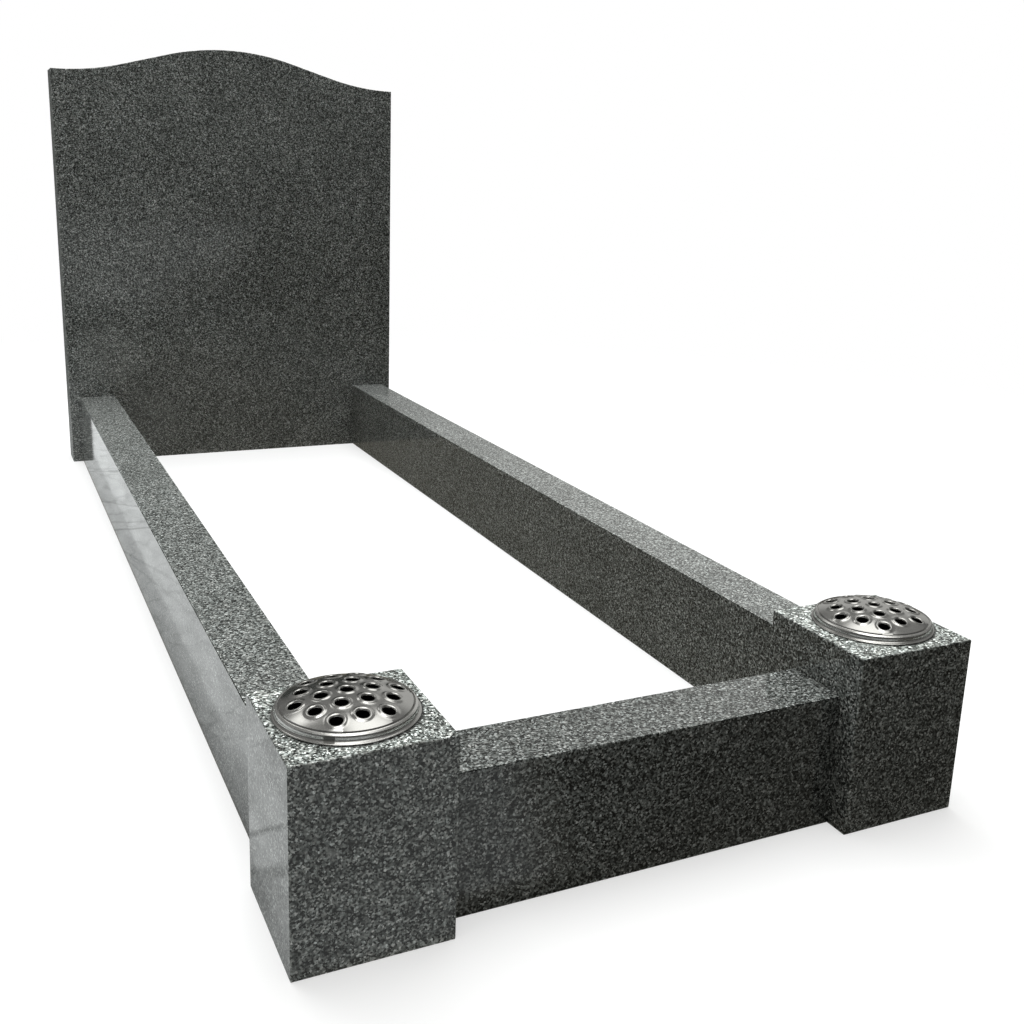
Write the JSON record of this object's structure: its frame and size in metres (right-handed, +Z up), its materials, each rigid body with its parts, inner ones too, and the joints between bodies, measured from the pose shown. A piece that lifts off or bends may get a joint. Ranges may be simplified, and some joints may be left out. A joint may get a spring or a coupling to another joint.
{
  "type": "kerbed memorial",
  "caption": "Granite grave surround: an ogee-topped headstone, low kerbs enclosing the grave, and corner posts with metal flower containers under perforated lids.",
  "frame": {"origin": "middle of the footprint, on the ground", "axes": "+X to the right seen from the front, +Y from the front kerb to the headstone, +Z up"},
  "size_m": [0.762, 2.02, 0.9265],
  "materials": {
    "headstone_granite": "polished fine-grained dark grey granite",
    "kerb_granite": "polished fine-grained dark grey granite",
    "post_granite": "polished fine-grained dark grey granite",
    "container_metal": "spun metal, satin",
    "lid_metal": "spun metal, polished"
  },
  "bodies": {
    "root": {"headstone": "headstone_granite", "kerb_left": "kerb_granite", "kerb_right": "kerb_granite", "kerb_front": "kerb_granite", "post_left": "post_granite", "post_right": "post_granite", "flower_container_left": "container_metal", "flower_container_right": "container_metal", "flower_lid_left": "lid_metal", "flower_lid_right": "lid_metal"}
  },
  "joints": []
}
